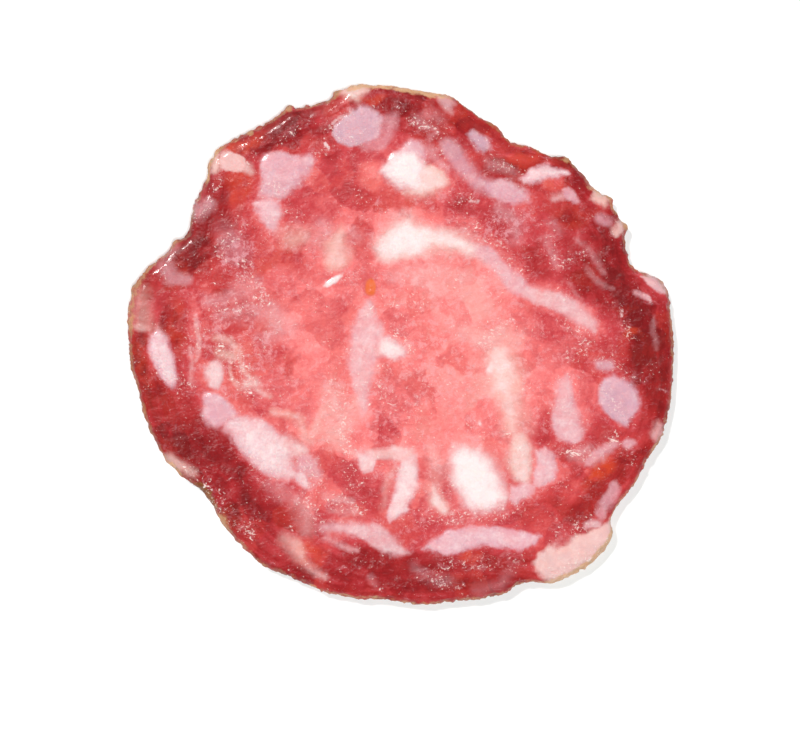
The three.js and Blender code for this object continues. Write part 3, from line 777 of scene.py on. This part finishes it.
def add_node(tree, kind, settings=None, inputs=()):
    """Adds one node. settings are its properties. inputs are values, or nodes and sockets to
    link, in the order of its sockets or under their names or numbers."""
    new = tree.nodes.new(kind)
    for name, value in (settings or {}).items():
        setattr(new, name, value)
    for name, value in inputs.items() if isinstance(inputs, dict) else enumerate(inputs):
        if isinstance(value, bpy.types.Node):
            value = next(output for output in value.outputs if output.enabled)
        if isinstance(value, bpy.types.NodeSocket):
            tree.links.new(value, new.inputs[name])
        else:
            new.inputs[name].default_value = value
    return new


def new_material(name):
    """An empty material and its node tree."""
    material = bpy.data.materials.new(name)
    material.use_nodes = True
    material.node_tree.nodes.clear()
    return material, material.node_tree


def four(colour):
    """A colour with full alpha."""
    return (*colour, 1.0)


def cured_meat_material(look):
    """Air-cured pork, minced and sliced. Moist lean that darkens towards the dried rim, with
    soft, faintly see-through fat in it, under a thin film of grease that glints on every bump."""
    material, tree = new_material("cured_pork_lean_and_fat")
    node = partial(add_node, tree)

    def moved(base, *swings):
        """base plus (pattern - 0.5) * amount for each pair of a pattern and an amount."""
        for pattern, amount in swings:
            middle = node(MATH, LESS, (pattern, 0.5))
            base = node(MATH, TIMES_ADD, (middle, amount, base))
        return base

    stored = []
    for name in STORED_FIELDS:
        read = node("ShaderNodeAttribute", {"attribute_name": name}).outputs["Vector"]
        stored.append(node("ShaderNodeSeparateXYZ", None, (read,)).outputs)
    (edge, core, cover), (white, warm, fray), (tone, lean_warm, smear) = stored[:3]
    (rind, brown, spice), (shoulder, greasy_glints, inner) = stored[3:]

    place = node("ShaderNodeTexCoord").outputs["Object"]
    in_mm = node(VECTOR_MATH, {"operation": "SCALE"}, {0: place, "Scale": 1 / MM})
    ring = node("ShaderNodeAttribute", {"attribute_name": "ring_place"}).outputs["Vector"]
    in_from_rim = node("ShaderNodeSeparateXYZ", None, (ring,)).outputs["Z"]
    ways = {
        "even": in_mm,
        "rim": node(VECTOR_MATH, TIMES, (ring, (0.12, 0.12, 1.0))),
        "knife": node(VECTOR_MATH, TIMES, (in_mm, (0.60, 1.0, 1.0))),
    }
    grain = {}
    for name, pattern in MEAT_PATTERNS.items():
        drawn = node(NOISE, None, {
            "Vector": ways[pattern.way], "Scale": 1 / pattern.size, "Detail": pattern.detail,
            "Roughness": pattern.rough, "Distortion": pattern.twist})
        grain[name] = drawn.outputs["Fac"]

    # Lean: a ramp from the dried rim to the moist middle. Lumps of mince 3 mm across differ in
    # colour, fibres 0.3 mm thick and streaks 0.9 mm wide follow the rim, and fat that lies just
    # under the lean makes it paler beside a piece.
    shift = node(NOISE, None, {"Vector": in_mm, "Scale": 1 / 2.2, "Detail": 2.0})
    stirred = node(VECTOR_MATH, TIMES_ADD, (shift.outputs["Color"], (3.0, 3.0, 3.0), in_mm))
    lumps = node("ShaderNodeTexVoronoi", {"feature": "SMOOTH_F1"},
                 {"Vector": stirred, "Scale": 1 / 3.2, "Smoothness": 0.16})
    lump = node("ShaderNodeSeparateColor", None, (lumps.outputs["Color"],)).outputs
    beside_fat = node(MATH, TIMES, (node(RANGE, SMOOTH, (edge, -4.0, -0.8)), cover))
    outer = node(MATH, LESS, (1.0, inner))
    lean_tone = node(MATH, TIMES_ADD, (beside_fat, 0.10, tone))
    lean_tone = node(MATH, TIMES_ADD, (moved(0.0, (grain["streaks"], 0.60)), outer, lean_tone))
    lean_tone = moved(lean_tone, (grain["mince"], 0.40), (lump[0], 0.22), (grain["fibres"], 0.12),
                      (grain["specks"], 0.16))
    ramp = node("ShaderNodeValToRGB", None, (lean_tone,))
    stops = ((0.0, look.lean_deep), (0.22, look.lean_crimson), (0.48, look.lean_red),
             (0.76, look.lean_salmon), (1.0, look.lean_pale))
    while len(ramp.color_ramp.elements) < len(stops):
        ramp.color_ramp.elements.new(0.5)
    for element, (position, colour) in zip(ramp.color_ramp.elements, stops):
        element.position = position
        element.color = four(colour)
    lumpy = node(RANGE, SMOOTH, (grain["mince"], 0.25, 0.60))
    oily = node(MATH, TIMES, (moved(lean_warm, (lump[1], 0.35)), lumpy))
    lean = node(MIX, BLEND, {SHARE: oily, BELOW: ramp.outputs["Color"], ABOVE: four(look.lean_orange)})

    # Fat mashed into the lean, in clouds and in threads that are broken off short.
    mash = node(MATH, TIMES_ADD, (smear, 0.15, grain["mash"]))
    mash = node(RANGE, SMOOTH, (mash, 0.60, 0.71, 0.0, 0.70))
    mash = node(MATH, TIMES, (mash, node(MATH, ADD, (smear, 0.04))))
    paleness = node(MATH, TIMES, (tone, 0.90))
    mash_colour = node(MIX, BLEND,
                       {SHARE: paleness, BELOW: four(look.fat_lilac), ABOVE: four(look.lean_pale)})
    lean = node(MIX, BLEND, {SHARE: mash, BELOW: lean, ABOVE: mash_colour})

    # Beads and short threads of set grease, 0.1 to 0.3 mm across, in a haze of the finest fat.
    # The pale flecks are partly real grease and partly painted highlights, standing in for glints
    # of light on the wet face. They lie in clumps, thickest where grease lies thick. Most of the
    # larger ones run the way the knife went, along X.
    zone = node(MATH, TIMES_ADD, (greasy_glints, 0.26, grain["zones"]))
    zone = node(MATH, TIMES_ADD, (smear, 0.15, zone))
    zone = node(RANGE, SMOOTH, (zone, 0.40, 0.88))
    crowd = node(MATH, TIMES_ADD, (greasy_glints, 0.03, node(MATH, TIMES, (zone, 0.10))))
    crowd = moved(crowd, (grain["clumps"], 0.18))
    small_beads = node(MATH, ADD, (grain["small_beads"], crowd))
    large_beads = node(MATH, ADD, (grain["large_beads"], crowd))
    haze = node(RANGE, SMOOTH, (large_beads, 0.58, 0.76, 0.0, 0.20))
    lean = node(MIX, BLEND, {SHARE: haze, BELOW: lean, ABOVE: mash_colour})

    # Fat: lilac where it is clear, with the lean's colour through it, cream where it is warm,
    # grey where it is clearest, white where it is dense. It is clouded in patches 0.9 mm across.
    blush = node(RANGE, SMOOTH, (grain["blushes"], 0.40, 0.66, 0.0, 0.22))
    through = node(MATH, ADD, (blush, node(RANGE, SMOOTH, (tone, 0.35, 0.95, 0.0, 0.42))))
    tint = node(MIX, BLEND, {SHARE: through, BELOW: four(look.fat_lilac), ABOVE: four(look.lean_pale)})
    tint = node(MIX, BLEND, {SHARE: warm, BELOW: tint, ABOVE: four(look.fat_cream)})
    clearest = node(RANGE, SMOOTH, (moved(white, (grain["clouds"], 0.25)), 0.05, -0.45))
    tint = node(MIX, BLEND, {SHARE: clearest, BELOW: tint, ABOVE: four(look.fat_grey)})
    dense = node(MATH, TIMES, (white, node(RANGE, SMOOTH, (core, -0.20, 0.75))))
    dense = moved(dense, (grain["clouds"], 0.90), (grain["specks"], 0.50), (grain["blushes"], -0.70))
    dense = node(RANGE, SMOOTH, (dense, -0.25, 1.0))
    fat = node(MIX, BLEND, {SHARE: dense, BELOW: tint, ABOVE: four(look.fat_white)})

    frayed = moved(0.0, (grain["tears"], 2.4))
    torn = node(RANGE, SMOOTH, (node(MATH, TIMES_ADD, (frayed, fray, edge)), -1.0, 1.0))
    fat_share = node(MATH, TIMES, (torn, cover))
    meat = node(MIX, BLEND, {SHARE: fat_share, BELOW: lean, ABOVE: fat})

    # The paprika grain, the dried skin on the rim, and the grease flecks over everything, painted pale as
    # glints of light.
    spiced = node(RANGE, SMOOTH, (spice, 0.0, 0.45))
    meat = node(MIX, BLEND, {SHARE: spiced, BELOW: meat, ABOVE: four(look.spice)})
    skin_share = node(RANGE, SMOOTH, (moved(rind, (grain["skin_flakes"], 1.3)), 0.30, 0.75))
    browned = moved(brown, (grain["mince"], 0.80))
    skin = node(MIX, BLEND,
                {SHARE: browned, BELOW: four(look.rind_tan), ABOVE: four(look.rind_brown)})
    skin_cover = node(MATH, TIMES, (skin_share, 0.85))
    meat = node(MIX, BLEND, {SHARE: skin_cover, BELOW: meat, ABOVE: skin})
    # Painted highlights: pale flecks of grease colour that stand in for glints of light on the wet face.
    small_glint_share = node(RANGE, SMOOTH, (small_beads, 0.69, 0.82, 0.0, 0.62))
    large_glint_share = node(RANGE, SMOOTH, (large_beads, 0.735, 0.81, 0.0, 0.92))
    glint_beads = node(MATH, {"operation": "MAXIMUM"}, (small_glint_share, large_glint_share))
    meat = node(MIX, BLEND, {SHARE: glint_beads, BELOW: meat, ABOVE: four(look.grease_glint)})

    # Relief too fine for the mesh: the grain of the mince and the film of grease on it. It is
    # calm on the pressed shoulder and strongest in the greasy zones, where the painted glints crowd too.
    pressed = node(MATH, TIMES_ADD, (shoulder, -0.70, 1.0))
    calm = node(MATH, TIMES, (pressed, node(MATH, TIMES_ADD, (zone, 1.25, 0.40))))
    height = node(MATH, TIMES_ADD, (grain["fine_bumps"], 0.40, grain["coarse_bumps"]))
    height = node(MATH, TIMES, (height, calm))
    height = node(MATH, TIMES_ADD, (grain["fibres"], 0.10, height))
    bump = node("ShaderNodeBump", None, {"Height": height, "Distance": 0.16 * MM, "Strength": 1.0})

    # The dried rim has less grease on it than the fresh cut.
    grease = node(RANGE, SMOOTH, (in_from_rim, 0.4, 2.0, 0.35 * look.grease, look.grease))
    rough = node(MATH, TIMES_ADD, (skin_share, 0.25, look.roughness))
    rough = node(MATH, ADD, (rough, node(RANGE, SMOOTH, (in_from_rim, 2.0, 0.4, 0.0, 0.15))))
    rough = moved(rough, (grain["clouds"], 0.15))
    shader = node("ShaderNodeBsdfPrincipled", {"subsurface_method": "RANDOM_WALK"}, {
        "Base Color": meat,
        "Roughness": rough,
        "IOR": 1.40,
        "Specular IOR Level": 0.35,
        "Normal": bump,
        "Subsurface Weight": 0.30,
        "Subsurface Radius": (1.0, 0.35, 0.28),
        "Subsurface Scale": 0.45 * MM,
        "Coat Weight": grease,
        "Coat Roughness": 0.09,
        "Coat IOR": 1.47,
    })
    node("ShaderNodeOutputMaterial", None, {"Surface": shader})
    return material


def studio_floor_material():
    """Matt white board. It keeps a clean soft shadow and no reflection."""
    material, tree = new_material("matt_white_board")
    place = add_node(tree, "ShaderNodeTexCoord").outputs["Object"]
    # Paper fibre is far finer than this, so it is drawn at 4 mm and barely shows.
    tooth = add_node(tree, NOISE, None,
                     {"Vector": place, "Scale": 1 / (4 * MM), "Detail": 2.0})
    colour = add_node(tree, MIX, BLEND, {
        SHARE: tooth.outputs["Fac"],
        BELOW: four(srgb("f6f6f6")),
        ABOVE: four(srgb("f8f8f8")),
    })
    shader = add_node(tree, "ShaderNodeBsdfPrincipled", None,
                      {"Base Color": colour, "Roughness": 0.9, "Specular IOR Level": 0.1})
    add_node(tree, "ShaderNodeOutputMaterial", None, {"Surface": shader})
    return material


# ---------------------------------------------------------------------------------------------
# Operators.

class MESH_OT_add_sausage_slice(bpy.types.Operator):
    """Models the slice over its CAD node, with its fat, lean and rim"""
    bl_idname = "mesh.add_sausage_slice"
    bl_label = "Sausage Slice"

    def execute(self, context):
        scene = context.scene
        mesh = even_copy(SLICE_NODE, scene.sausage_shape.facet)
        refine_upper_side(mesh)
        carve_and_mark(mesh, scene.sausage_shape)
        mesh.materials.clear()
        mesh.materials.append(cured_meat_material(scene.sausage_look))
        mesh.shade_smooth()
        piece = bpy.data.objects.new("peeled_sausage_slice", mesh)
        scene.collection.objects.link(piece)
        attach(piece, BODY)
        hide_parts(SLICE_NODE)
        return {"FINISHED"}


def add_soft_light(scene, name, towards, spread, strength, colour, diffuse=True, glossy=True):
    """A far, soft light that lies in the direction towards. spread is the angle that it fills, in
    degrees, and strength is in watts per square metre."""
    light = bpy.data.lights.new(name, "SUN")
    light.angle = math.radians(spread)
    light.energy = strength
    light.color = srgb(colour)
    lamp = bpy.data.objects.new(name, light)
    lamp.rotation_euler = (-Vector(towards)).to_track_quat("-Z", "Y").to_euler()
    lamp.visible_diffuse = diffuse
    lamp.visible_glossy = glossy
    scene.collection.objects.link(lamp)


class SCENE_OT_add_sausage_stage(bpy.types.Operator):
    """Adds the pale floor, the soft lights and the camera looking straight down"""
    bl_idname = "scene.add_sausage_stage"
    bl_label = "Pale Stage"

    def execute(self, context):
        scene = context.scene
        stage = scene.sausage_stage
        scene.view_settings.view_transform = "Standard"

        disc = bmesh.new()
        bmesh.ops.create_circle(disc, cap_ends=True, segments=96, radius=stage.floor_radius)
        floor_mesh = bpy.data.meshes.new("studio_floor")
        disc.to_mesh(floor_mesh)
        disc.free()
        floor_mesh.materials.append(studio_floor_material())
        floor = bpy.data.objects.new("studio_floor", floor_mesh)
        scene.collection.objects.link(floor)

        tilt, bearing = stage.key_tilt, stage.key_bearing
        towards_key = Vector((math.sin(tilt) * math.cos(bearing), math.sin(tilt) * math.sin(bearing),
                              math.cos(tilt)))
        add_soft_light(scene, "overhead_softbox", (0.08, -0.1, 0.6), 18.5, 2.54, "f9ffff",
                       glossy=False)
        add_soft_light(scene, "key_lamp", towards_key, 5.7, 1.38, "fff6f3")
        add_soft_light(scene, "sparkle_panel", towards_key, 15.4, 1.06, "ffffff", diffuse=False)

        world = bpy.data.worlds.new("pale_studio")
        world.use_nodes = True
        tree = world.node_tree
        tree.nodes.clear()
        seen = add_node(tree, "ShaderNodeLightPath").outputs["Is Camera Ray"]
        strength = add_node(tree, RANGE, None,
                            {"Value": seen, "To Min": 0.08, "To Max": 1.0})
        white = add_node(tree, "ShaderNodeBackground", None,
                         {"Color": (1, 1, 1, 1), "Strength": strength})
        add_node(tree, "ShaderNodeOutputWorld", None, {"Surface": white})
        scene.world = world

        camera_data = bpy.data.cameras.new("overhead_camera")
        camera_data.sensor_width = 36
        camera_data.lens = camera_data.sensor_width * stage.camera_distance / stage.frame_width
        camera_data.clip_start = 0.01
        camera_data.clip_end = 20
        camera = bpy.data.objects.new("overhead_camera", camera_data)
        middle_x, middle_y = stage.frame_middle
        camera.location = (middle_x, middle_y, stage.camera_distance + SLICE_HEIGHT / 2)
        scene.collection.objects.link(camera)
        scene.camera = camera
        return {"FINISHED"}


class VIEW3D_PT_sausage(bpy.types.Panel):
    """Lists the slice and its stage"""
    bl_label = "Cured Sausage Slice"
    bl_space_type = "VIEW_3D"
    bl_region_type = "UI"
    bl_category = "Sausage"

    def draw(self, context):
        for settings, operator in PANEL_ROWS:
            box = self.layout.box()
            for name in settings:
                group = getattr(context.scene, name)
                for key in group.bl_rna.properties.keys():
                    if key not in ("rna_type", "name"):
                        box.prop(group, key)
            box.operator(operator.bl_idname)


PANEL_ROWS = (
    (("sausage_shape", "sausage_look"), MESH_OT_add_sausage_slice),
    (("sausage_stage",), SCENE_OT_add_sausage_stage),
)
SETTINGS = {
    "sausage_shape": SausageShapeSettings,
    "sausage_look": SausageLookSettings,
    "sausage_stage": SausageStageSettings,
}
CLASSES = (*SETTINGS.values(), MESH_OT_add_sausage_slice, SCENE_OT_add_sausage_stage,
           VIEW3D_PT_sausage)


def register():
    for cls in CLASSES:
        bpy.utils.register_class(cls)
    for name, group in SETTINGS.items():
        setattr(bpy.types.Scene, name, bpy.props.PointerProperty(type=group))


def unregister():
    for name in SETTINGS:
        delattr(bpy.types.Scene, name)
    for cls in reversed(CLASSES):
        bpy.utils.unregister_class(cls)


def main():
    register()
    bpy.ops.scene.add_sausage_stage()
    bpy.ops.mesh.add_sausage_slice()


if __name__ == "__main__":
    main()
